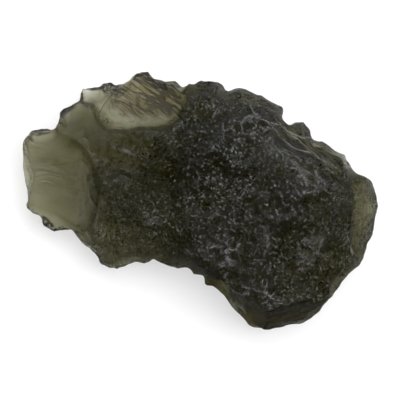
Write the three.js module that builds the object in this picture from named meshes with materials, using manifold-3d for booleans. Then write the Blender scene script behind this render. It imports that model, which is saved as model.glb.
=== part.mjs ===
// Raw moldavite: one piece of natural green glass, with a pitted skin, fresh fracture scars and thin lobes.
// It lies flat, as it would on a table. Millimetres, +Z up, origin under the middle of its box.
import * as THREE from "three";
import { ImprovedNoise } from "three/addons/math/ImprovedNoise.js";
import { mergeVertices } from "three/addons/utils/BufferGeometryUtils.js";
import Module from "manifold-3d";

const { clamp, degToRad, lerp, seededRandom, smoothstep } = THREE.MathUtils;

// Driving dimensions
const LENGTH = 30; // along X, the stone's longest extent
const RIM_HEIGHT = 2.4; // of the outline's edge above the table
const RIM_WANDER = [
  // how the edge strays up and down
  { size: 5, height: 0.8, shift: 30.8 },
  { size: 1.7, height: 0.5, shift: 5.6 },
];
const CROWN = { low: 5.4, high: 7.9, climbsFrom: -10, climbsTo: 1 }; // the unbroken skin, left to right
const RIDGE = { height: 0.5, halfWidth: 3, slant: 0.55, offset: 5.5 }; // runs slantwise over the body
const RIGHT_END = { drop: 1.1, from: 6, to: 15 }; // where the crown comes down again
const SINK = 0.3; // how far the underside reached below the table before it was worn flat
const BELLY = { curve: 0.011, most: 1 }; // how the underside bends up, per square millimetre

// The two halves of the skin, above and below the outline's edge
const TOP = { spacing: 0.5, shoulder: 2.6, rise: 5, heightAt: crownHeight };
const UNDER = { spacing: 0.8, shoulder: 1.7, rise: RIM_HEIGHT, heightAt: footHeight };
const SQUARENESS = 2.8; // of the edge's section, where 2 is round
const SCATTER = 0.6; // how far the grid's points stray, as a share of their spacing
const SWELLINGS = [
  { size: 4.5, height: 0.45, shift: 0 },
  { size: 1.9, height: 0.16, shift: 7.3 },
];
const STEEP = { from: 0.05, to: 0.5 }; // upward share of the normal at which the swellings fade in

// The outline seen from above, clockwise, in pixels of the 400 x 400 photograph
const OUTLINE_PIXELS = [
  [24, 137], [30, 130.5], [36, 129], [44, 127.5], [54, 127.5], [58, 124.5], [59.5, 120], [60, 113],
  [64, 108.5], [72, 105], [79, 99.5], [80, 94], [82, 88], [92, 87.5], [99, 86], [103, 82.5],
  [108, 81], [112, 82.5], [116, 85], [123, 82], [130, 78.5], [136, 73], [143, 72], [148, 70],
  [151, 75], [156, 79], [166, 80.5], [175, 80], [178, 82], [182, 87.5], [188, 84], [194, 85],
  [202, 80.3], [212, 81.5], [219, 80.8], [223, 84], [227, 92], [230, 89.3], [235, 87.6],
  [240, 87], [251, 90.5], [262, 95], [270, 101], [276, 104], [282, 106], [283.5, 109],
  [283, 118], [287, 123], [290, 124], [295, 121.5], [303, 121.5], [307, 125.5], [310, 131],
  [312.5, 139], [316, 141.5], [322, 141], [327, 144], [333, 147.5], [342, 153], [346, 154],
  [347.5, 157], [349, 162], [355, 169.5], [365, 176.5], [370, 179], [373.5, 184], [375, 189],
  [377, 199], [378.5, 206], [377, 213], [376.5, 225], [374, 233], [370, 239], [366, 243],
  [366.5, 249], [364, 258], [360, 266], [352, 270], [347, 276.5], [342, 282], [338, 291],
  [330, 299], [322, 307], [320, 311], [311, 318], [300, 323.5], [290, 324.5], [282, 327],
  [268, 329.5], [255, 328], [247, 325], [244, 320.5], [242.5, 316], [238, 313], [231, 307],
  [227, 300.5], [219, 290.5], [217, 286.5], [207, 286.3], [204.5, 284], [204, 279.5], [202, 275],
  [193, 274.5], [188, 269], [178, 269], [170, 266.5], [160, 262], [154, 260], [145, 263.5],
  [138, 262], [131, 264.5], [124, 267.5], [118, 270], [112, 269], [106, 266], [101, 264],
  [98, 257], [93, 251.5], [86, 246], [80, 241], [75, 234.5], [71, 231.3], [60, 231],
  [54, 232], [50, 230], [43, 225.5], [40.5, 219.5], [34, 215.5], [27, 208], [25.5, 204],
  [27, 198], [27, 190], [25, 182], [24, 175], [22, 168], [21.5, 160], [22.5, 150], [22, 143],
];
const OUTLINE_LEFT_PIXEL = 21.5;
const OUTLINE_RIGHT_PIXEL = 378.5;
const MIDDLE_PIXEL = [200, 199.75];
const HUB_PIXEL = [205, 185]; // every point of the outline can be seen from here
const MM_PER_PIXEL = LENGTH / (OUTLINE_RIGHT_PIXEL - OUTLINE_LEFT_PIXEL);
const MEAN_REACH = 11; // from the hub to the outline
const CORNERED_SHARE = 0.86; // rings beyond this share of the way out keep the outline's corners
const NOTCH_REACH = 2.2; // notches narrower than about twice this fade away inside the edge
const NOTCH_FADE = 5; // and the higher this is, the sooner they do
const FEWEST_ON_RING = 6;

// Bowls etched into the skin: one in each cell of a loose grid, in three dimensions
const BOWL_CELL = 2.0;
const BOWL_RADIUS = [1.1, 1.9];
const BOWL_DEPTH = [0.4, 0.85];
const BOWL_FREE_RIM = 0.8; // the bowls fade out this close to the outline's edge

// Fracture scars: each is a bowl, given by its name, its deepest point, the direction it faces, its half
// width, half length and depth, the turn of its length in degrees and its fullness. The fuller it is, the
// flatter is its floor and the steeper are its walls. A fullness of 2 is round.
const SCARS = [
  ["left lobe", [-14.6, 0.4, 3.7], [-0.03, 0, 1], [6.4, 8.1, 4], 22, 5],
  ["lobe's corner", [-13.3, 5.9, 2.7], [-0.1, 0.15, 1], [2, 1.5, 3], -20, 3],
  ["lobe's foot", [-12.6, -2.1, 3], [-0.12, -0.2, 1], [4.2, 1.8, 3], -27, 3],
  ["dark lobe", [-10.6, 7.4, 3.9], [-0.15, 0.2, 1], [3.4, 3.4, 3], 0, 3],
  ["chip", [-8.9, 9.6, 2.6], [-0.1, 0.15, 1], [1.8, 2.3, 3], 0, 3],
  ["bright scar", [-5.2, 10.6, 3.6], [-0.08, -0.06, 1], [4.7, 5.3, 5], 0, 8],
  ["upper facet", [4.7, 8.6, 4], [0.25, 0.6, 1], [3.4, 2.8, 5], -22, 3],
  ["upper right slope", [8.5, 6.2, 4.9], [0.62, 0.78, 0.62], [14, 14, 14], 0, 2],
  ["right flange", [15.4, -1.2, 3.6], [0.2, 0, 1], [4.1, 5.8, 4], 0, 3],
  ["lower right bevel", [12.6, -6.5, 5], [0.8, -0.7, 0.8], [16, 16, 16], 0, 2],
  ["lower facet", [8.5, -9.6, 5.4], [0.1, -1, 0.83], [11, 11, 11], 0, 2],
  ["lower left facet", [4.4, -9.4, 5.2], [-0.75, -0.8, 0.8], [5, 5, 5], 0, 2],
  ["small fracture", [2.4, -8.9, 2.8], [-0.6, -0.5, 1], [2, 2, 2.4], 0, 2],
  ["bay rim", [1.2, -7, 3.6], [-0.2, -0.4, 1], [2.2, 1.6, 3], -35, 3],
  ["lower left slope", [-8.6, -4.6, 4.3], [-0.2, -0.35, 1], [7, 7, 7], 0, 2],
  ["under left lobe", [-14, 1.2, 1.6], [-0.06, 0, -1], [18, 18, 18], 0, 2],
  ["under dark lobe", [-10.2, 8.6, 1.9], [-0.2, 0.3, -1], [11, 11, 11], 0, 2],
  ["under bright scar", [-5, 7.8, 1.6], [0, 0, -1], [14, 14, 14], 0, 2],
  ["under upper facet", [5.2, 9.4, 1.7], [0.2, 0.7, -1], [9, 9, 9], 0, 2],
  ["under right flange", [14.8, -1.4, 1.9], [0.6, 0, -1], [5.5, 5.5, 5.5], 0, 2],
].map(([name, deepest, facing, size, turn, fullness]) => ({ name, deepest, facing, size, turn, fullness }));
const SCAR_GRAIN = 0.9; // size of a scar's triangles, where they are evenly spread
const SCAR_WAVES = { share: 0.05, around: [3, 5] }; // how a scar's outline waves in and out

const noise = new ImprovedNoise();
const CHANCE_PRIMES = [73856093, 19349663, 83492791, 2654435];
const USE = { x: 1, y: 2, z: 3, radius: 4, depth: 5 };
const WELD = 1e-4; // points closer than this are one

// A point of the photograph in the part's frame.
function fromPixel([px, py]) {
  return new THREE.Vector2((px - MIDDLE_PIXEL[0]) * MM_PER_PIXEL, (MIDDLE_PIXEL[1] - py) * MM_PER_PIXEL);
}

const outline = OUTLINE_PIXELS.map(fromPixel).reverse(); // anticlockwise
const hub = fromPixel(HUB_PIXEL);

// Each corner's place along the outline, from 0 to 1.
function placesAlong(points) {
  const sums = [0];
  points.forEach((p, i) => sums.push(sums[i] + p.distanceTo(points[(i + 1) % points.length])));
  return { places: sums.map((s) => s / sums.at(-1)), perimeter: sums.at(-1) };
}

const { places, perimeter } = placesAlong(outline);

function outlineAt(u) {
  const place = u - Math.floor(u);
  let i = 0;
  while (places[i + 1] < place) i += 1;
  const share = (place - places[i]) / (places[i + 1] - places[i]);
  return outline[i].clone().lerp(outline[(i + 1) % outline.length], share);
}

// The outline with its small notches averaged away, for the rings inside it.
function softOutlineAt(u) {
  const reach = NOTCH_REACH / perimeter;
  const steps = 6;
  const sum = new THREE.Vector2();
  for (let k = -steps; k <= steps; k += 1) sum.add(outlineAt(u + (k / steps) * reach));
  return sum.divideScalar(2 * steps + 1);
}

// A point a share of the way from the hub to the outline, whose notches show only near the edge.
function ringPoint(u, share) {
  const edge = softOutlineAt(u).lerp(outlineAt(u), share ** NOTCH_FADE);
  return hub.clone().lerp(edge, share);
}

function distanceToSegment(p, a, b) {
  const along = b.clone().sub(a);
  const share = clamp(p.clone().sub(a).dot(along) / along.lengthSq(), 0, 1);
  return p.distanceTo(a.clone().addScaledVector(along, share));
}

function distanceToOutline(p) {
  return Math.min(...outline.map((a, i) => distanceToSegment(p, a, outline[(i + 1) % outline.length])));
}

// The skin's rise from the edge, 0, to its full height, 1: a quarter of a squared-up ellipse.
function riseAt(distance, shoulder) {
  return (1 - (1 - Math.min(distance / shoulder, 1)) ** SQUARENESS) ** (1 / SQUARENESS);
}

// Where the rings lie between the hub, 0, and the edge, 1, so that they are evenly spaced along the skin.
function ringShares({ spacing, shoulder, rise }) {
  const steps = 400; // to measure the skin's length by
  const heightOf = (share) => rise * riseAt((1 - share) * MEAN_REACH, shoulder);
  const lengths = [0];
  for (let i = 1; i <= steps; i += 1) {
    const drop = heightOf((i - 1) / steps) - heightOf(i / steps);
    lengths.push(lengths[i - 1] + Math.hypot(MEAN_REACH / steps, drop));
  }
  const count = Math.round(lengths.at(-1) / spacing);
  return Array.from({ length: count }, (_, r) => {
    const wanted = (lengths.at(-1) * (r + 1)) / count;
    return r === count - 1 ? 1 : lengths.findIndex((l) => l >= wanted) / steps;
  });
}

// The unbroken skin's height over a point away from the edge.
function crownHeight(x, y) {
  const climb = smoothstep(x, CROWN.climbsFrom, CROWN.climbsTo);
  const acrossRidge = (y + RIDGE.slant * x - RIDGE.offset) / RIDGE.halfWidth;
  const ridge = RIDGE.height * Math.exp(-(acrossRidge ** 2));
  const fall = RIGHT_END.drop * smoothstep(x, RIGHT_END.from, RIGHT_END.to);
  return lerp(CROWN.low, CROWN.high, climb) + ridge - fall;
}

function footHeight(x, y) {
  return -SINK + Math.min(BELLY.curve * (x * x + y * y), BELLY.most);
}

// Broad lumps with finer ones on them.
function lumpsAt(p, layers) {
  const heights = layers.map(({ size, height, shift }) => {
    const q = p.clone().divideScalar(size);
    return height * noise.noise(q.x + shift, q.y, q.z);
  });
  return heights.reduce((sum, height) => sum + height);
}

// A number from 0 to 1 that is fixed for each cell of a grid and each use.
function chance([i, j, k], use) {
  const [a, b, c, d] = CHANCE_PRIMES;
  return seededRandom(Math.imul(i, a) ^ Math.imul(j, b) ^ Math.imul(k, c) ^ Math.imul(use, d));
}

function bowlIn(cell) {
  const [i, j, k] = cell;
  const stray = new THREE.Vector3(chance(cell, USE.x), chance(cell, USE.y), chance(cell, USE.z));
  return {
    centre: new THREE.Vector3(i, j, k).add(stray).multiplyScalar(BOWL_CELL),
    radius: lerp(...BOWL_RADIUS, chance(cell, USE.radius)),
    depth: lerp(...BOWL_DEPTH, chance(cell, USE.depth)),
  };
}

// How deep the bowls are at a point. Neighbouring bowls meet in a sharp crest.
function bowlDepth(p) {
  const [ci, cj, ck] = p.toArray().map((c) => Math.floor(c / BOWL_CELL));
  let deepest = 0;
  for (let i = ci - 1; i <= ci + 1; i += 1)
    for (let j = cj - 1; j <= cj + 1; j += 1)
      for (let k = ck - 1; k <= ck + 1; k += 1) {
        const { centre, radius, depth } = bowlIn([i, j, k]);
        deepest = Math.max(deepest, depth * (1 - (p.distanceTo(centre) / radius) ** 2));
      }
  return deepest;
}

// A small step in any direction, so that the grid's rings don't show.
function scatter(i, ring, spacing) {
  const stray = (use) => (chance([i, ring, 0], use) - 0.5) * SCATTER * spacing;
  return new THREE.Vector2(stray(USE.x), stray(USE.y));
}

// One ring of the skin: its points, and how far each is from the edge.
function skinRing(share, ring, { spacing, shoulder, heightAt }) {
  const count = Math.max(FEWEST_ON_RING, Math.round((perimeter * share) / spacing));
  const evenly = Array.from({ length: count }, (_, i) => i / count);
  const us = share > CORNERED_SHARE ? places.slice(0, -1) : evenly;
  const insets = [];
  const points = us.map((u, i) => {
    const flat = ringPoint(u, share);
    if (us === evenly) flat.add(scatter(i, ring, spacing));
    const rim = RIM_HEIGHT + lumpsAt(new THREE.Vector3(flat.x, flat.y, 0.5 * RIM_HEIGHT), RIM_WANDER);
    const inset = share === 1 ? 0 : distanceToOutline(flat);
    const z = lerp(rim, heightAt(flat.x, flat.y), riseAt(inset, shoulder));
    insets.push(Math.hypot(inset, z - rim));
    return new THREE.Vector3(flat.x, flat.y, z);
  });
  return { points, insets };
}

// Triangles between two rings with any numbers of points, each time along the shorter diagonal.
function stitch(outer, inner, emit) {
  const [n, m] = [outer.points.length, inner.points.length];
  let [i, j] = [0, 0];
  while (i < n || j < m) {
    const [iNext, jNext] = [(i + 1) % n, (j + 1) % m];
    const ahead = outer.points[iNext].distanceTo(inner.points[j % m]);
    const behind = inner.points[jNext].distanceTo(outer.points[i % n]);
    if (j >= m || (i < n && ahead <= behind)) {
      emit(outer.first + i, outer.first + iNext, inner.first + (j % m));
      i += 1;
    } else {
      emit(inner.first + j, outer.first + (i % n), inner.first + jNext);
      j += 1;
    }
  }
}

// The whole skin before anything broke off it, as one closed mesh.
function skinGeometry() {
  const above = ringShares(TOP).map((share, ring) => skinRing(share, ring, TOP));
  const below = ringShares(UNDER).slice(0, -1).map((share, ring) => skinRing(share, ring, UNDER)).reverse();
  const rings = [...above, ...below];
  const points = [new THREE.Vector3(hub.x, hub.y, crownHeight(hub.x, hub.y))];
  for (const ring of rings) {
    ring.first = points.length;
    points.push(...ring.points);
  }
  const foot = points.length;
  points.push(new THREE.Vector3(hub.x, hub.y, footHeight(hub.x, hub.y)));
  const insets = [MEAN_REACH, ...rings.flatMap((ring) => ring.insets), MEAN_REACH];

  const index = [];
  const emit = (...corners) => index.push(...corners);
  const [first, last] = [rings[0], rings.at(-1)];
  first.points.forEach((_, i) => emit(0, first.first + i, first.first + ((i + 1) % first.points.length)));
  for (let r = 1; r < rings.length; r += 1) stitch(rings[r], rings[r - 1], emit);
  last.points.forEach((_, i) => emit(foot, last.first + ((i + 1) % last.points.length), last.first + i));

  const geometry = new THREE.BufferGeometry().setFromPoints(points).setIndex(index);
  geometry.computeVertexNormals();
  return { geometry, insets };
}

// Swells and etches the skin along its normals, but leaves the edge where the outline is.
function sculpt({ geometry, insets }) {
  const position = geometry.getAttribute("position");
  const normal = geometry.getAttribute("normal");
  const p = new THREE.Vector3();
  const n = new THREE.Vector3();
  for (let i = 0; i < position.count; i += 1) {
    p.fromBufferAttribute(position, i);
    n.fromBufferAttribute(normal, i);
    const swelling = lumpsAt(p, SWELLINGS) * smoothstep(Math.abs(n.z), STEEP.from, STEEP.to);
    const etching = bowlDepth(p) * smoothstep(insets[i], 0, BOWL_FREE_RIM);
    p.addScaledVector(n, swelling - etching);
    position.setXYZ(i, p.x, p.y, p.z);
  }
  return geometry;
}

// The solid that a fracture took away: a ball whose floor and walls are squared up by its fullness.
function scarGeometry({ deepest, facing, turn, size, fullness }) {
  const [halfWidth, halfLength, depth] = size;
  const geometry = new THREE.IcosahedronGeometry(1, Math.ceil(Math.max(...size) / SCAR_GRAIN));
  const position = geometry.getAttribute("position");
  for (let i = 0; i < position.count; i += 1) {
    const p = new THREE.Vector3().fromBufferAttribute(position, i);
    const round = Math.hypot(p.x, p.y) ** fullness + Math.abs(p.z) ** fullness;
    p.multiplyScalar(round ** (-1 / fullness));
    const turned = Math.atan2(p.y, p.x);
    const waves = SCAR_WAVES.around.map((count) => Math.sin(count * (turned + deepest[0])));
    const reach = 1 + SCAR_WAVES.share * (waves[0] + waves[1]);
    position.setXYZ(i, p.x * halfWidth * reach, p.y * halfLength * reach, p.z * depth);
  }
  const direction = new THREE.Vector3(...facing).normalize();
  const centre = new THREE.Vector3(...deepest).addScaledVector(direction, depth);
  const tilt = new THREE.Quaternion().setFromUnitVectors(new THREE.Vector3(0, 0, 1), direction);
  return geometry.rotateZ(degToRad(turn)).applyQuaternion(tilt).translate(centre.x, centre.y, centre.z);
}

const wasm = await Module();
wasm.setup();

function toSolid(geometry) {
  const bare = new THREE.BufferGeometry().setAttribute("position", geometry.getAttribute("position"));
  if (geometry.index) bare.setIndex(geometry.index);
  const merged = mergeVertices(bare, WELD);
  return new wasm.Manifold(
    new wasm.Mesh({
      numProp: 3,
      vertProperties: merged.getAttribute("position").array,
      triVerts: new Uint32Array(merged.index.array),
    }),
  );
}

function toGeometry(solid) {
  const { vertProperties, triVerts } = solid.getMesh();
  const geometry = new THREE.BufferGeometry()
    .setAttribute("position", new THREE.BufferAttribute(vertProperties, 3))
    .setIndex(new THREE.BufferAttribute(triVerts, 1));
  geometry.computeVertexNormals();
  return geometry;
}

// The stone without the crumbs that a cut may have parted from it.
function largestPiece(solid) {
  return solid.decompose().reduce((a, b) => (a.volume() > b.volume() ? a : b));
}

// The skin less every scar, worn flat where it stands, with its box centred over the origin.
function stoneGeometry() {
  let stone = toSolid(sculpt(skinGeometry()));
  for (const scar of SCARS) stone = stone.subtract(toSolid(scarGeometry(scar)));
  const tableDepth = 5;
  const table = new THREE.BoxGeometry(2 * LENGTH, 2 * LENGTH, tableDepth).translate(0, 0, -tableDepth / 2);
  const geometry = toGeometry(largestPiece(stone.subtract(toSolid(table))));
  geometry.computeBoundingBox();
  const middle = geometry.boundingBox.getCenter(new THREE.Vector3());
  return geometry.translate(-middle.x, -middle.y, -geometry.boundingBox.min.z);
}

const glass = new THREE.MeshStandardMaterial({ color: 0x3b3c2c, roughness: 0.35, metalness: 0 });
const stone = new THREE.Mesh(stoneGeometry(), glass);
stone.name = "moldavite";

const root = new THREE.Group();
root.add(stone);

export default root;
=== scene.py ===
import math
from collections import namedtuple

import bmesh
import bpy
import numpy as np
from mathutils import Matrix, Vector


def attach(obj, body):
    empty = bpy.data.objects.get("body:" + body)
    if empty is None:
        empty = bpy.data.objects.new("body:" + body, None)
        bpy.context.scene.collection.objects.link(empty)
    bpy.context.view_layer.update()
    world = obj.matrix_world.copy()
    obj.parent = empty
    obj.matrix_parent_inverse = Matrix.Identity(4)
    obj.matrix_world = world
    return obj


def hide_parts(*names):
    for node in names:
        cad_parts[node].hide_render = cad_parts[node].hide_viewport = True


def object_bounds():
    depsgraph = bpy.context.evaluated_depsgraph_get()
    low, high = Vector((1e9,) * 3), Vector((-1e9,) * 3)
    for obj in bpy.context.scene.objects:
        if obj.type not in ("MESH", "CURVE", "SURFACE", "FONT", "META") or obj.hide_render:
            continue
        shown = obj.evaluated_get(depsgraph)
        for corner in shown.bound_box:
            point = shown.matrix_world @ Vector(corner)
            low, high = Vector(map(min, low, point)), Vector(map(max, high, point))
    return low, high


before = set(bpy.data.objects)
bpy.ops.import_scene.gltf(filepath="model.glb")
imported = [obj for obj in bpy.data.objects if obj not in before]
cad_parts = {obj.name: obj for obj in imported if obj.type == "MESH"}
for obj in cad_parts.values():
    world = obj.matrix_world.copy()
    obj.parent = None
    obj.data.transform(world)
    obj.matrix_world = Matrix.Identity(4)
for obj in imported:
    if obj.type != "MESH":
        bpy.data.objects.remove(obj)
cad_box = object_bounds()

MM = 0.001

# The photograph's frame: the stone's length spans these pixels, and its box is centred on this one.
STONE_PIXELS = 357
MIDDLE_PIXEL = (200, 199.75)
PHOTO_PIXELS = 400
STONE_LENGTH = (cad_box[1].x - cad_box[0].x) / MM
MM_PER_PIXEL = STONE_LENGTH / STONE_PIXELS
RIM_HEIGHT = 2.4  # the level at which the outline is widest

# The finer mesh. Points of the solid that are nearer to each other than the first value are merged.
MERGE_DISTANCE = 0.001
VOXEL = 0.133
SMOOTHING = 0.5
SMOOTHING_STEPS = 2

# The fracture scars, as the solid has them. Each is a bowl with a deepest point and a direction it faces.
# Its size is its half width, half length and depth, and its length is turned by "turn" degrees. Its
# fullness is 2 for a round bowl, and more for one with a flatter floor and steeper sides.
Scar = namedtuple("Scar", "deepest facing size turn fullness")
SCARS = {
    "left lobe": Scar((-14.6, 0.4, 3.7), (-0.03, 0, 1), (6.4, 8.1, 4), 22, 5),
    "lobe's corner": Scar((-13.3, 5.9, 2.7), (-0.1, 0.15, 1), (2, 1.5, 3), -20, 3),
    "lobe's foot": Scar((-12.6, -2.1, 3), (-0.12, -0.2, 1), (4.2, 1.8, 3), -27, 3),
    "dark lobe": Scar((-10.6, 7.4, 3.9), (-0.15, 0.2, 1), (3.4, 3.4, 3), 0, 3),
    "chip": Scar((-8.9, 9.6, 2.6), (-0.1, 0.15, 1), (1.8, 2.3, 3), 0, 3),
    "bright scar": Scar((-5.2, 10.6, 3.6), (-0.08, -0.06, 1), (4.7, 5.3, 5), 0, 8),
    "upper facet": Scar((4.7, 8.6, 4), (0.25, 0.6, 1), (3.4, 2.8, 5), -22, 3),
    "upper right slope": Scar((8.5, 6.2, 4.9), (0.62, 0.78, 0.62), (14, 14, 14), 0, 2),
    "right flange": Scar((15.4, -1.2, 3.6), (0.2, 0, 1), (4.1, 5.8, 4), 0, 3),
    "lower right bevel": Scar((12.6, -6.5, 5), (0.8, -0.7, 0.8), (16, 16, 16), 0, 2),
    "lower facet": Scar((8.5, -9.6, 5.4), (0.1, -1, 0.83), (11, 11, 11), 0, 2),
    "lower left facet": Scar((4.4, -9.4, 5.2), (-0.75, -0.8, 0.8), (5, 5, 5), 0, 2),
    "small fracture": Scar((2.4, -8.9, 2.8), (-0.6, -0.5, 1), (2, 2, 2.4), 0, 2),
    "bay rim": Scar((1.2, -7, 3.6), (-0.2, -0.4, 1), (2.2, 1.6, 3), -35, 3),
    "lower left slope": Scar((-8.6, -4.6, 4.3), (-0.2, -0.35, 1), (7, 7, 7), 0, 2),
    "under left lobe": Scar((-14, 1.2, 1.6), (-0.06, 0, -1), (18, 18, 18), 0, 2),
    "under dark lobe": Scar((-10.2, 8.6, 1.9), (-0.2, 0.3, -1), (11, 11, 11), 0, 2),
    "under bright scar": Scar((-5, 7.8, 1.6), (0, 0, -1), (14, 14, 14), 0, 2),
    "under upper facet": Scar((5.2, 9.4, 1.7), (0.2, 0.7, -1), (9, 9, 9), 0, 2),
    "under right flange": Scar((14.8, -1.4, 1.9), (0.6, 0, -1), (5.5, 5.5, 5.5), 0, 2),
}
SCAR_REACH = (0.06, 0.18)  # how near a scar's surface points are wholly part of it, or part of it at all
SCAR_WAVES = 0.05  # how far a scar's outline waves in and out, as a share of its size
SCAR_WAVE_COUNTS = (3, 5)  # how often it does so on its way round

# How fresh the scars are, where 1 is clean glass and 0 is as etched as the old skin, and how broken up
# their surface is, where 0 is even.
Finish = namedtuple("Finish", "freshness brokenness")
PLAIN_FINISH = Finish(1, 0.3)
FINISHES = {
    "left lobe": Finish(1, 0.08),
    "lobe's corner": Finish(1, 0.15),
    "lobe's foot": Finish(1, 0.1),
    "dark lobe": Finish(1, 0.15),
    "bright scar": Finish(1, 1),
    "chip": Finish(1, 0.1),
    "upper facet": Finish(0.2, 0.5),
    "upper right slope": Finish(0.1, 0.6),
    "right flange": Finish(0.1, 1),
    "lower right bevel": Finish(0.1, 0.6),
    "lower facet": Finish(0.4, 0.8),
    "lower left facet": Finish(0.7, 0.2),
    "bay rim": Finish(0.15, 0.7),
    "lower left slope": Finish(0.3, 0.6),
}

# Long fine lines on some of the scars: the direction that they run in, in degrees from +X, how far apart
# they are, and how much of the light they stop.
Lines = namedtuple("Lines", "along spacing darkness")
LINES = {
    "left lobe": Lines(-4, 0.4, 0.25),
    "dark lobe": Lines(60, 0.3, 0.1),
    "bright scar": Lines(-34, 0.34, 1.2),
    "lower facet": Lines(15, 0.3, 1),
}
LINE_STRETCH = 6  # how much longer than apart they are
LINE_CLEARNESS = 0.7  # how clearly they show, on the average
RIM_OF_SCAR = (0.62, 0.9)  # where lines and breaks fade on the way from a scar's middle to its rim
RIM_SHARE = 0.4  # how much of them is left at the rim

# Pits etched into the old skin, from coarse to fine: cell size, radii, depths and share of cells with one.
Pits = namedtuple("Pits", "cell radii depths share seed")
PITS = [
    Pits(1.15, (0.5, 0.85), (0.04, 0.16), 0.9, 20),
    Pits(0.55, (0.25, 0.42), (0.03, 0.09), 0.8, 40),
]

# Smooth waves, from coarse to fine: of the whole surface and of the old skin, of the way that fine lines
# and creases run, of how clearly the fine lines show, and of how grainy the skin is.
Waves = namedtuple("Waves", "height size seed")
SURFACE_WAVES = [Waves(0.05, 2.1, 6), Waves(0.025, 0.9, 7)]
SKIN_WAVES = [Waves(0.03, 0.8, 3), Waves(0.02, 0.35, 5)]
LINE_WAVES = [Waves(0.25, 1.6, 80)]
CREASE_WAVES = [Waves(0.12, 0.6, 60), Waves(0.06, 0.3, 62)]
CLEARNESS_WAVES = [Waves(0.6, 1.7, 81)]
GRAINY_WAVES = [Waves(0.4, 2.2, 90)]

# How far the flat grains of the skin lean. Grains that lean far make it dark, and weak ones silvery.
GRAININESS = 0.6
GRAINY_LIMITS = (0.06, 1.7)

# Places on the top, in pixels of the photograph, and what they add to the marks of the surface there: to
# how far the grains lean, how brown the glass is, how broken up it is and how clearly its fine lines show.
# The brown is a stain in most patches, and painted shade in the dark hollow, the edge pits and on the
# lower edge. The depth is that of a hollow, in millimetres.
CHANGES = ("graininess", "stain", "brokenness", "lines", "depth")
Patch = namedtuple("Patch", ("pixel", "radius") + CHANGES, defaults=[0] * len(CHANGES))
PATCHES = {
    "smooth patch": Patch((168, 168), 24, graininess=0.8, stain=0.4),
    # painted shade: the brown added here darkens the hollow as its shade would
    "dark hollow": Patch((172, 238), 19, graininess=0.8, stain=0.3, depth=0.35),
    "dark pit": Patch((284, 241), 12, graininess=0.6, depth=0.35),
    "upper pit": Patch((216, 166), 9, graininess=0.4, depth=0.25),
    "middle pit": Patch((272, 209), 11, depth=0.25),
    "left pit": Patch((244, 208), 9, depth=0.25),
    "hollow above the silvery patch": Patch((312, 226), 14, depth=0.3),
    # painted shade: the brown added here stands in for the shade in the pits by the edge
    "edge pits": Patch((328, 278), 14, graininess=1.1, stain=0.8, depth=0.2),
    "silvery patch": Patch((312, 245), 22, graininess=-0.3),
    "silvery middle": Patch((240, 215), 20, graininess=0.1),
    "silvery top": Patch((275, 150), 24, graininess=-0.2),
    "silvery right": Patch((312, 187), 20, graininess=-0.2),
    "dull bowl": Patch((333, 169), 11, graininess=0.5),
    "silvery foot": Patch((228, 264), 16, graininess=-0.2),
    "transition": Patch((118, 180), 38, graininess=0.15, stain=0.15, brokenness=0.9),
    "upper transition": Patch((122, 145), 24, graininess=0.5, stain=0.1, brokenness=0.5),
    "flange": Patch((358, 215), 40, stain=0.1, brokenness=0.8),
    "brown middle of the lobe": Patch((64, 186), 23, stain=0.7),
    "corner of the lobe's foot": Patch((49, 224), 9, graininess=-0.6),
    "bands of the lobe": Patch((52, 168), 17, lines=1.2),
    "plain foot of the lobe": Patch((60, 206), 26, lines=-0.9),
    "top of the bright scar": Patch((152, 84), 16, stain=0.4),
    "left half of the bright scar": Patch((130, 101), 18, stain=0.5, brokenness=0.3, lines=0.4),
    "middle of the bright scar": Patch((150, 111), 11, stain=0.5, brokenness=0.3, lines=0.4),
    "cream band, left": Patch((113, 118), 9, stain=-0.4, lines=-0.5),
    "cream band": Patch((131, 124), 10, stain=-0.4, lines=-0.5),
    "cream band, right": Patch((151, 121), 9, stain=-0.4, lines=-0.5),
    "pale chip": Patch((93, 96), 11, stain=-0.3, brokenness=-0.3),
    "broken glass": Patch((166, 99), 20, stain=0.25, lines=0.8),
    # painted shade: the brown added to these facets and rims darkens the lower edge, which faces away from
    # the lights
    "lower facets": Patch((285, 318), 40, stain=0.3),
    "smooth dark facet": Patch((252, 314), 13, stain=0.9),
    "edge of the dark facet": Patch((244, 313), 10, stain=0.7),
    "rim of the bay": Patch((211, 284), 11, stain=0.9, brokenness=0.5),
    "foot of the bay": Patch((224, 297), 9, stain=0.6, brokenness=0.5),
}
PATCH_STEEPNESS = 4  # how steeply a patch ends at its radius
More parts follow.
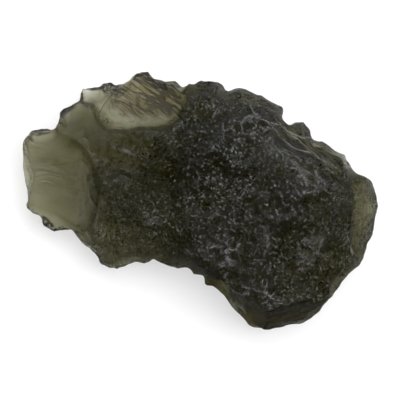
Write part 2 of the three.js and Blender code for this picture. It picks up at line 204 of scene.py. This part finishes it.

# Thin crests and cracks on the top, as lines through pixels of the photograph. The width is in pixels, the
# rise in millimetres is below 0 for a crack, and the stain is how much of the light a crack stops. In the
# pit by the edge the stain is painted shade.
Crease = namedtuple("Crease", "pixels width rise stain", defaults=(0,))
CREASES = {
    "upper right crest": Crease(
        [(262, 132), (271, 127), (277, 126), (284, 132), (295, 138), (307, 140), (316, 147), (332, 158)],
        3.6, 0.08,
    ),
    "middle crest": Crease([(284, 132), (297, 143), (305, 151), (317, 160), (328, 165)], 3.2, 0.06),
    "inner crest": Crease([(270, 130), (276, 137), (284, 146), (292, 151), (305, 154)], 3, 0.06),
    "crest round the pit": Crease([(252, 137), (242, 135), (239, 127), (243, 120), (250, 119)], 3, 0.06),
    "crest above the pit": Crease([(245, 105), (252, 115), (262, 123), (271, 127)], 3, 0.06),
    "rib above the bay": Crease(
        [(228, 245), (225, 255), (229, 264), (224, 275), (226, 285), (233, 288)],
        2.2, 0.04,
    ),
    "pale fracture": Crease([(234, 299), (238, 303), (241, 307)], 9, 0.02),
    "lower rim": Crease([(240, 282), (252, 285), (266, 291), (270, 295)], 2.6, 0.04),
    "rib by the silvery patch": Crease([(341, 232), (346, 243), (349, 254), (352, 264)], 2.4, 0.04),
    "glint on the right": Crease([(289, 164), (290.5, 165)], 6, 0.02),
    "glint on the left": Crease([(127, 152), (128.5, 152.5)], 6, 0.02),
    # painted shade: the black painted into this pit stands in for the shade at its bottom
    "pit by the edge": Crease([(326, 271), (328, 281)], 6, -0.35, 1),
    "crack by the chip": Crease([(111, 88), (112, 96), (104, 108), (102, 112)], 1.8, -0.1, 0.7),
    "long crack": Crease([(132, 92), (147, 97), (160, 100), (172, 107), (187, 114)], 3, -0.08, 0.9),
    "upper crack": Crease([(140, 82), (150, 87), (163, 90), (178, 101), (183, 109)], 2.6, -0.08, 0.8),
    "lower crack": Crease([(150, 105), (161, 105), (175, 112), (184, 122)], 2.6, -0.06, 0.9),
    "broken crack": Crease(
        [(146, 104), (152, 99), (160, 104), (165, 110), (174, 106), (180, 112)],
        2.6, -0.06, 0.9,
    ),
    "peak's fold": Crease([(137, 77), (147, 74), (155, 80), (170, 84)], 2, -0.06, 0.6),
    "lobe's crescent": Crease([(92, 196), (98, 204), (98, 213), (93, 222)], 2.2, -0.08, 0.7),
    "lobe's edge": Crease([(84, 160), (92, 170), (97, 182), (99, 196)], 2, -0.04, 0.4),
}
CREASE_FADE = (0.4, 0.15)  # where its look sets in and is full, as distances from its line in widths
FAR = 10.0  # stands for the distance to a crease on the underside

# The glass. The tops of its crests are worn flat, so that they mirror the key light upwards.
IOR = 1.49
MIRROR_TINT = (0.6, 0.62, 0.65, 1)
ABSORPTION_COLOUR = (0.33, 0.32, 0.06, 1)
ABSORPTION_DENSITY = 835.0
SCAR_ROUGHNESS = 0.3
SKIN_ROUGHNESS = 0.17
BROKEN_GLOSS = 0.12  # how much less rough broken glass is
WORN_TOP = (0.1, 0.17, 0.98)

# The stains of the glass, and how strongly its clouds and blotches are brown and its cracks black. The
# brown also paints shade on the lower edge and in hollows, and the black paints shade in the pit by the
# edge.
WHITE = (1, 1, 1, 1)
BROWN = (0.42, 0.34, 0.19, 1)
BLACK_OF_CRACKS_AND_SHADE = (0.06, 0.045, 0.03, 1)
CLOUD_STAIN = 0.22
BLOTCH_STAIN = 0.65
CRACK_AND_SHADE_DARKNESS = 1.3

# The noise textures of the glass: how fine they are, how many layers they have, the values between which
# they rise from 0 to 1, and how rough the finer layers are. The first two follow the long fine lines.
Texture = namedtuple("Texture", "scale detail rising roughness", defaults=(0.5,))
FINE_LINES = Texture(1, 4, (0.5, 0.62))
STREAKS = Texture(0.45, 3, (0.46, 0.6))
CLOUDS = Texture(0.35 / MM, 2, (0.45, 0.65))
RUBBLE = Texture(2.2 / MM, 3, (0.5, 0.59), 0.6)
LINE_CELLS = 0.6  # the scale of long cells whose borders are fine lines too
CELL_BORDER = (0.12, 0.03)  # how near a border such a line sets in and is full
GRAINS_PER_MM = 7.5

# How high the bumps of the glass are, in millimetres.
GRAIN_HEIGHT = 0.25
RUBBLE_HEIGHT = 0.35
FINE_LINE_DEPTH = 0.02

# The studio. The floor that the stone mirrors, and the sky, glow less in front of the stone than behind
# it, and change from one to the other across a stripe.
LENS = 135
FLOOR_SIZE = 4
FLOOR_PAINT = (0.45, 0.45, 0.45, 1)
FLOOR_GLOW = 0.58
MIRRORED_PAINT = (0.12, 0.12, 0.12, 1)
MIRRORED_GLOW = (0.02, 0.5)
MIRRORED_STRIPE = (-0.01, 0.03)
SKY_GLOW = (0.19, 0.8)
SKY_STRIPE = (-0.1, 1)
Softbox = namedtuple("Softbox", "place width height radiance")
SOFTBOXES = {
    "key light": Softbox((0.08, 0.12, 0.31), 0.36, 0.22, 4.4),
    "right light": Softbox((0.23, 0, 0.24), 0.2, 0.2, 3.4),
    "left light": Softbox((-0.22, 0.02, 0.25), 0.18, 0.18, 1.2),
}

# Primes and shifts that mix a cell's place and a use into one of the numbers that 32 bits can hold.
NUMBERS = 2**32
CELL_PRIMES = np.array([73856093, 19349663, 83492791], np.uint32)
USE_PRIME = 2654435761
MIXING = ((15, 2246822519), (13, 3266489917))
LAST_SHIFT = 16


def chance(cells, use):
    """A number from 0 to 1 that is fixed for each cell and use."""
    spread = cells.astype(np.int64).astype(np.uint32) * CELL_PRIMES
    mixed = spread[:, 0] ^ spread[:, 1] ^ spread[:, 2] ^ np.uint32(use * USE_PRIME % NUMBERS)
    for shift, prime in MIXING:
        mixed = (mixed ^ (mixed >> shift)) * np.uint32(prime)
    return (mixed ^ (mixed >> LAST_SHIFT)) / NUMBERS


def neighbours(low, high):
    steps = range(low, high + 1)
    return [np.array((i, j, k)) for i in steps for j in steps for k in steps]


def pit_depth(points, pits):
    """How deep a layer of round pits is. Neighbouring pits meet in a sharp crest."""
    home = np.floor(points / pits.cell)
    deepest = np.zeros(len(points))
    for step in neighbours(-1, 1):
        cells = home + step
        *stray, wide, deep, filled = (chance(cells, pits.seed + use) for use in range(6))
        radius = np.interp(wide, (0, 1), pits.radii)
        depth = np.where(filled < pits.share, np.interp(deep, (0, 1), pits.depths), 0)
        distance = np.linalg.norm(points - (cells + np.stack(stray, 1)) * pits.cell, axis=1)
        deepest = np.maximum(deepest, depth * (1 - (distance / radius) ** 2))
    return deepest


def noise(points, size, seed):
    """Smooth noise from -1 to 1, with features of one size."""
    home = np.floor(points / size)
    share = points / size - home
    share = share * share * (3 - 2 * share)
    total = np.zeros(len(points))
    for step in neighbours(0, 1):
        weight = np.where(step, share, 1 - share).prod(axis=1)
        total += weight * chance(home + step, seed)
    return total * 2 - 1


def heave(points, layers, variant=0):
    """How high layers of waves are at each point. Each variant has other waves of the same kind."""
    return sum(waves.height * noise(points, waves.size, waves.seed + variant) for waves in layers)


def scar_frame(scar):
    """The scar's centre, and the turn from the scar's own axes to the stone's."""
    facing = Vector(scar.facing).normalized()
    centre = Vector(scar.deepest) + facing * scar.size[2]
    tilt = Vector((0, 0, 1)).rotation_difference(facing).to_matrix()
    return centre, tilt @ Matrix.Rotation(math.radians(scar.turn), 3, "Z")


def on_scar(points, scar):
    """1 on the surface that a scar left, falling to 0 away from it, and how near the scar's rim it is."""
    centre, turn = scar_frame(scar)
    own = (points - np.array(centre)) @ np.array(turn)
    x, y, z = own.T / np.array(scar.size)[:, None]
    turned = np.arctan2(y, x) + scar.deepest[0]  # the waves start elsewhere on each scar
    reach = 1 + SCAR_WAVES * sum(np.sin(count * turned) for count in SCAR_WAVE_COUNTS)
    outward = np.hypot(x, y) / reach
    level = (outward**scar.fullness + abs(z) ** scar.fullness) ** (1 / scar.fullness)
    distance = np.linalg.norm(own, axis=1) * abs(1 - 1 / level)
    return np.interp(distance, SCAR_REACH, (1, 0)), outward


def scar_shares(points):
    """How much each point is part of each scar, and the same again with the scars' rims faded."""
    whole, inner = {}, {}
    for name, scar in SCARS.items():
        whole[name], outward = on_scar(points, scar)
        inner[name] = whole[name] * np.interp(outward, RIM_OF_SCAR, (1, RIM_SHARE))
    return whole, inner


def strongest(quality, shares):
    """The most of a quality that the finish of any scar gives each point."""
    qualities = {name: getattr(FINISHES.get(name, PLAIN_FINISH), quality) for name in shares}
    return np.max([qualities[name] * share for name, share in shares.items()], axis=0)


def line_places(points, lines):
    """The points' places along and across the lines, shrunk lengthwise, which draws round noise out."""
    along = Matrix.Rotation(math.radians(lines.along), 3, "Z")
    own = points @ np.array(along)
    own[:, 1] += heave(points, LINE_WAVES)
    return own / (LINE_STRETCH, 1, LINE_STRETCH) / lines.spacing


def line_marks(points, inner, change):
    """The points' places among the fine lines of their scar, and how dark those lines are."""
    place = np.zeros(points.shape)
    dark = np.zeros(len(points))
    clearness = np.maximum(LINE_CLEARNESS + heave(points, CLEARNESS_WAVES) + change, 0)
    for name, lines in LINES.items():
        near = inner[name] > 0
        place[near] = line_places(points[near], lines)
        dark = np.maximum(dark, lines.darkness * inner[name] * clearness)
    return place, dark


def from_pixel(pixel):
    """The place of a pixel of the photograph, in the stone's frame."""
    return (np.array(pixel) - MIDDLE_PIXEL) * (1, -1) * MM_PER_PIXEL


def in_patch(points, patch):
    """1 in the middle of a patch, falling to 0 outside it."""
    distance = np.linalg.norm(points[:, :2] - from_pixel(patch.pixel), axis=1)
    share = np.exp(-((distance / (patch.radius * MM_PER_PIXEL)) ** PATCH_STEEPNESS))
    return share * (points[:, 2] > RIM_HEIGHT)


def patch_changes(points):
    """What all patches together add to each kind of mark."""
    changes = {kind: np.zeros(len(points)) for kind in CHANGES}
    for patch in PATCHES.values():
        share = in_patch(points, patch)
        for kind in CHANGES:
            changes[kind] += getattr(patch, kind) * share
    return changes


def from_line(places, pixels):
    """How far places seen from above are from a line through pixels, below 0 on its right-hand side."""
    nearest = np.full(len(places), FAR)
    corners = [from_pixel(pixel) for pixel in pixels]
    for start, end in zip(corners, corners[1:]):
        along = end - start
        share = np.clip((places - start) @ along / (along @ along), 0, 1)
        away = places - start - share[:, None] * along
        side = np.where(along[0] * away[:, 1] < along[1] * away[:, 0], -1, 1)
        distance = np.linalg.norm(away, axis=1)
        nearest = np.where(distance < abs(nearest), side * distance, nearest)
    return nearest


def from_creases(points):
    """How far each point of the top is from the wavering line of each crease."""
    waver = np.stack([heave(points, CREASE_WAVES, axis) for axis in range(2)], 1)
    places = points[:, :2] + waver
    top = points[:, 2] > RIM_HEIGHT
    return {name: np.where(top, from_line(places, crease.pixels), FAR) for name, crease in CREASES.items()}


def on_crease(distance, crease):
    """1 on the line of a crease, falling to 0 beside it."""
    half_width = crease.width * MM_PER_PIXEL / 2
    return np.exp(-((distance / half_width) ** 2))


def graininess(points, skin, creased, change):
    """How far the grains of the skin lean. Fresh scars and creases have none."""
    lean = skin * np.clip(GRAININESS + heave(points, GRAINY_WAVES) + change, *GRAINY_LIMITS)
    for share in creased.values():
        lean *= 1 - share
    return lean


def relief(points, skin, creased, hollow):
    """How far each point rises from the surface of the solid."""
    rise = heave(points, SURFACE_WAVES) - hollow
    rise += skin * heave(points, SKIN_WAVES)
    for pits in PITS:
        rise -= skin * pit_depth(points, pits)
    for name, share in creased.items():
        rise += CREASES[name].rise * share
    return rise


def read(items, name, width):
    values = np.zeros(len(items) * width, np.float32)
    items.foreach_get(name, values)
    return values.reshape(-1, width).astype(float)


def write_marks(mesh, marks):
    """Keeps a value or a vector for each point, which the material finds by its name."""
    for name, values in marks.items():
        kind, field = ("FLOAT", "value") if values.ndim == 1 else ("FLOAT_VECTOR", "vector")
        mesh.attributes.new(name, kind, "POINT").data.foreach_set(field, values.ravel())


def sculpt(stone):
    """Gives the mesh its fine relief, and marks what the material needs to know about each point."""
    mesh = stone.data
    points = read(mesh.vertices, "co", 3)
    normals = read(mesh.vertex_normals, "vector", 3)
    changes = patch_changes(points)
    whole, inner = scar_shares(points)
    skin = 1 - strongest("freshness", whole)
    line_place, dark = line_marks(points, inner, changes["lines"])
    distances = from_creases(points)
    creased = {name: on_crease(distance, CREASES[name]) for name, distance in distances.items()}
    marks = {
        "skin": skin,
        "broken": np.clip(strongest("brokenness", inner) + changes["brokenness"], 0, 1),
        "grainy": graininess(points, skin, creased, changes["graininess"]),
        "dark": dark,
        # brown stains, and painted shade on the lower edge and in hollows
        "stain": changes["stain"],
        "line place": line_place,
    }
    points += normals * relief(points, skin, creased, changes["depth"])[:, None]
    points[:, 2] = np.maximum(points[:, 2], 0)
    mesh.vertices.foreach_set("co", (points * MM).ravel())
    write_marks(mesh, marks | distances)
    mesh.update()


def copy_of_the_solid():
    """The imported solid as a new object, in millimetres, with its points merged."""
    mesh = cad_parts["moldavite"].data.copy()
    mesh.transform(Matrix.Scale(1 / MM, 4))
    shape = bmesh.new()
    shape.from_mesh(mesh)
    bmesh.ops.remove_doubles(shape, verts=shape.verts, dist=MERGE_DISTANCE)
    shape.to_mesh(mesh)
    shape.free()
    stone = bpy.data.objects.new("stone", mesh)
    bpy.context.scene.collection.objects.link(stone)
    return stone


def apply_modifier(piece, kind, **settings):
    modifier = piece.modifiers.new(kind, kind)
    for name, value in settings.items():
        setattr(modifier, name, value)
    with bpy.context.temp_override(object=piece):
        bpy.ops.object.modifier_apply(modifier=modifier.name)


def make_stone():
    stone = copy_of_the_solid()
    apply_modifier(stone, "REMESH", mode="VOXEL", voxel_size=VOXEL, use_smooth_shade=True)
    apply_modifier(stone, "SMOOTH", factor=SMOOTHING, iterations=SMOOTHING_STEPS)
    sculpt(stone)
    stone.data.materials.clear()
    stone.data.materials.append(glass())
    return stone


def new_material(name):
    material = bpy.data.materials.new(name)
    material.use_nodes = True
    tree = material.node_tree
    return material, tree, tree.nodes["Principled BSDF"]


def feed(tree, socket, value):
    """Links another node's output to a socket, or sets a plain value on the socket itself."""
    if isinstance(value, bpy.types.NodeSocket):
        tree.links.new(value, socket)
    else:
        socket.default_value = value


def add_node(tree, kind, **inputs):
    """A node with its input sockets fed. Where sockets share a name, they go by number, as in _1."""
    node = tree.nodes.new(kind)
    for name, value in inputs.items():
        socket = node.inputs[int(name[1:])] if name[0] == "_" else node.inputs[name.replace("_", " ")]
        feed(tree, socket, value)
    return node


def calculate(tree, operation, *values):
    node = add_node(tree, "ShaderNodeMath", **{f"_{i}": value for i, value in enumerate(values)})
    node.operation = operation
    return node.outputs["Value"]


def vector_step(tree, operation, *values, output="Vector"):
    node = add_node(tree, "ShaderNodeVectorMath", **{f"_{i}": value for i, value in enumerate(values)})
    node.operation = operation
    return node.outputs[output]


def blend(tree, share, low, high):
    """A number between low and high."""
    node = add_node(tree, "ShaderNodeMapRange", Value=share, To_Min=low, To_Max=high)
    return node.outputs["Result"]


def between(tree, value, start, end):
    """0 up to the start and 1 from the end on. The end may be lower than the start."""
    node = add_node(tree, "ShaderNodeMapRange", Value=value, From_Min=start, From_Max=end)
    return node.outputs["Result"]


def blend_colours(tree, share, low, high):
    node = add_node(tree, "ShaderNodeMix", Factor=share)
    node.data_type = "RGBA"
    feed(tree, node.inputs["A"], low)
    feed(tree, node.inputs["B"], high)
    return node.outputs["Result"]


def attribute(tree, name, output="Fac"):
    node = add_node(tree, "ShaderNodeAttribute")
    node.attribute_name = name
    return node.outputs[output]


def coordinates(tree, kind):
    return add_node(tree, "ShaderNodeTexCoord").outputs[kind]


def y_part(tree, vector):
    return add_node(tree, "ShaderNodeSeparateXYZ", Vector=vector).outputs["Y"]


def noise_texture(tree, place, texture):
    settings = {"Scale": texture.scale, "Detail": texture.detail, "Roughness": texture.roughness}
    return add_node(tree, "ShaderNodeTexNoise", Vector=place, **settings).outputs["Fac"]


def islands(tree, place, texture):
    """1 on islands with soft shores, where a noise texture is high, and 0 between them."""
    return between(tree, noise_texture(tree, place, texture), *texture.rising)


def bump(tree, height, strength, reach, normal=None):
    """A normal tilted by a height whose full range stands for a reach in millimetres."""
    node = add_node(tree, "ShaderNodeBump", Strength=strength, Distance=reach * MM, Height=height)
    if normal:
        tree.links.new(normal, node.inputs["Normal"])
    return node.outputs["Normal"]


def grain_height(tree, place):
    """Flat grains that each lean their own way."""
    spread = vector_step(tree, "MULTIPLY", place, (GRAINS_PER_MM / MM,) * 3)
    grains = add_node(tree, "ShaderNodeTexVoronoi", Vector=spread, Scale=1)
    away = vector_step(tree, "SUBTRACT", spread, grains.outputs["Position"])
    lean = vector_step(tree, "SUBTRACT", grains.outputs["Color"], (0.5, 0.5, 0.5))
    return vector_step(tree, "DOT_PRODUCT", away, lean, output="Value")


def scar_lines(tree):
    """How dark the fine lines of the scars are, and how brown the softer streaks along them."""
    place = attribute(tree, "line place", "Vector")
    dark = attribute(tree, "dark")
    cells = add_node(tree, "ShaderNodeTexVoronoi", Vector=place, Scale=LINE_CELLS)
    cells.feature = "DISTANCE_TO_EDGE"
    borders = between(tree, cells.outputs["Distance"], *CELL_BORDER)
    lines = calculate(tree, "MAXIMUM", islands(tree, place, FINE_LINES), borders)
    streaks = islands(tree, place, STREAKS)
    return calculate(tree, "MULTIPLY", lines, dark), calculate(tree, "MULTIPLY", streaks, dark)


def crease_marks(tree):
    """How near each point is to a crest's line, and how dark cracks and the painted shade of a pit make
    it.
    """
    crest, crack = 0, 0
    for name, crease in CREASES.items():
        distance = calculate(tree, "ABSOLUTE", attribute(tree, name))
        near = between(tree, distance, *(share * crease.width * MM_PER_PIXEL for share in CREASE_FADE))
        if crease.rise > 0:
            crest = calculate(tree, "MAXIMUM", crest, near)
        else:
            # how dark the cracks are; in the pit by the edge this is painted shade
            crack = calculate(tree, "MAXIMUM", crack, calculate(tree, "MULTIPLY", near, crease.stain))
    return crest, crack


def glass_colour(tree, place, blotches, streaks, black):
    """Clear glass with brown clouds, blotches and streaks, blackened lines, and brown and black painted
    shade.
    """
    clouds = islands(tree, place, CLOUDS)
    # the stain attribute brings brown stains and brown painted shade on the lower edge and in hollows
    brown = calculate(tree, "MULTIPLY_ADD", clouds, CLOUD_STAIN, attribute(tree, "stain"))
    brown = calculate(tree, "MULTIPLY_ADD", blotches, BLOTCH_STAIN, brown)
    brown = calculate(tree, "ADD", streaks, brown)
    return blend_colours(tree, black, blend_colours(tree, brown, WHITE, BROWN), BLACK_OF_CRACKS_AND_SHADE)


def glass_normal(tree, place, rubble, lines, crest):
    """The way each point faces, with leaning grains, fine lines, rubble and worn crests."""
    normal = bump(tree, grain_height(tree, place), attribute(tree, "grainy"), GRAIN_HEIGHT)
    normal = bump(tree, calculate(tree, "MULTIPLY", lines, -1), 1, FINE_LINE_DEPTH, normal)
    normal = bump(tree, rubble, attribute(tree, "broken"), RUBBLE_HEIGHT, normal)
    turn = vector_step(tree, "SUBTRACT", WORN_TOP, normal)
    return vector_step(tree, "MULTIPLY_ADD", turn, crest, normal)


def glass():
    """Dark green natural glass with a grainy skin and smoother scars."""
    material, tree, surface = new_material("moldavite glass")
    place = coordinates(tree, "Object")
    broken = attribute(tree, "broken")
    rubble = noise_texture(tree, place, RUBBLE)
    blotches = calculate(tree, "MULTIPLY", between(tree, rubble, *RUBBLE.rising), broken)
    lines, streaks = scar_lines(tree)
    crest, crack = crease_marks(tree)
    # black: the lines and cracks, and the painted shade of the pit by the edge
    black = calculate(tree, "MAXIMUM", lines, calculate(tree, "MULTIPLY", crack, CRACK_AND_SHADE_DARKNESS))
    unbroken = blend(tree, attribute(tree, "skin"), SCAR_ROUGHNESS, SKIN_ROUGHNESS)
    inputs = {
        "Transmission Weight": 1,
        "IOR": IOR,
        "Specular Tint": MIRROR_TINT,
        "Base Color": glass_colour(tree, place, blotches, streaks, black),
        "Roughness": calculate(tree, "MULTIPLY_ADD", broken, -BROKEN_GLOSS, unbroken),
        "Normal": glass_normal(tree, place, rubble, lines, crest),
    }
    for name, value in inputs.items():
        feed(tree, surface.inputs[name], value)
    inside = add_node(
        tree, "ShaderNodeVolumeAbsorption", Color=ABSORPTION_COLOUR, Density=ABSORPTION_DENSITY
    )
    tree.links.new(inside.outputs["Volume"], tree.nodes["Material Output"].inputs["Volume"])
    return material


def make_camera():
    """Looks straight down, from so far that the stone's depth hardly changes its outline."""
    lens = bpy.data.cameras.new("camera")
    lens.lens = LENS
    lens.clip_start = MM
    camera = bpy.data.objects.new("camera", lens)
    bpy.context.scene.collection.objects.link(camera)
    width = PHOTO_PIXELS * MM_PER_PIXEL * MM
    camera.location = (0, 0, RIM_HEIGHT * MM + width * lens.lens / lens.sensor_width)
    bpy.context.scene.camera = camera


def white_paint():
    """Paint that glows, and is darker where the stone mirrors it."""
    material, tree, surface = new_material("white floor")
    mirrored = add_node(tree, "ShaderNodeLightPath").outputs["Is Reflection Ray"]
    behind = between(tree, y_part(tree, coordinates(tree, "Object")), *MIRRORED_STRIPE)
    inputs = {
        "Base Color": blend_colours(tree, mirrored, FLOOR_PAINT, MIRRORED_PAINT),
        "Emission Color": WHITE,
        "Emission Strength": blend(tree, mirrored, FLOOR_GLOW, blend(tree, behind, *MIRRORED_GLOW)),
        "Roughness": 1,
        "Specular IOR Level": 0,
    }
    for name, value in inputs.items():
        feed(tree, surface.inputs[name], value)
    return material


def make_floor():
    bpy.ops.mesh.primitive_plane_add(size=FLOOR_SIZE)
    floor = bpy.context.object
    floor.name = "floor"
    floor.data.materials.append(white_paint())


def make_sky():
    """White surroundings that glow more behind the stone than in front of it."""
    world = bpy.data.worlds.new("studio")
    world.use_nodes = True
    tree = world.node_tree
    behind = between(tree, y_part(tree, coordinates(tree, "Generated")), *SKY_STRIPE)
    inputs = {"Color": WHITE, "Strength": blend(tree, behind, *SKY_GLOW)}
    for name, value in inputs.items():
        feed(tree, tree.nodes["Background"].inputs[name], value)
    bpy.context.scene.world = world


def make_softbox(name, softbox):
    """A rectangular light that faces the stone."""
    light = bpy.data.lights.new(name, "AREA")
    light.shape = "RECTANGLE"
    light.size = softbox.width
    light.size_y = softbox.height
    light.energy = softbox.radiance * math.pi * softbox.width * softbox.height
    lamp = bpy.data.objects.new(name, light)
    lamp.location = softbox.place
    lamp.rotation_euler = Vector(softbox.place).to_track_quat("Z", "Y").to_euler()
    bpy.context.scene.collection.objects.link(lamp)


def light_the_scene():
    make_sky()
    for name, softbox in SOFTBOXES.items():
        make_softbox(name, softbox)
    bpy.context.scene.view_settings.view_transform = "Standard"
    bpy.context.scene.view_settings.exposure = 0


make_camera()
make_floor()
light_the_scene()
stone = make_stone()
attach(stone, "root")
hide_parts("moldavite")
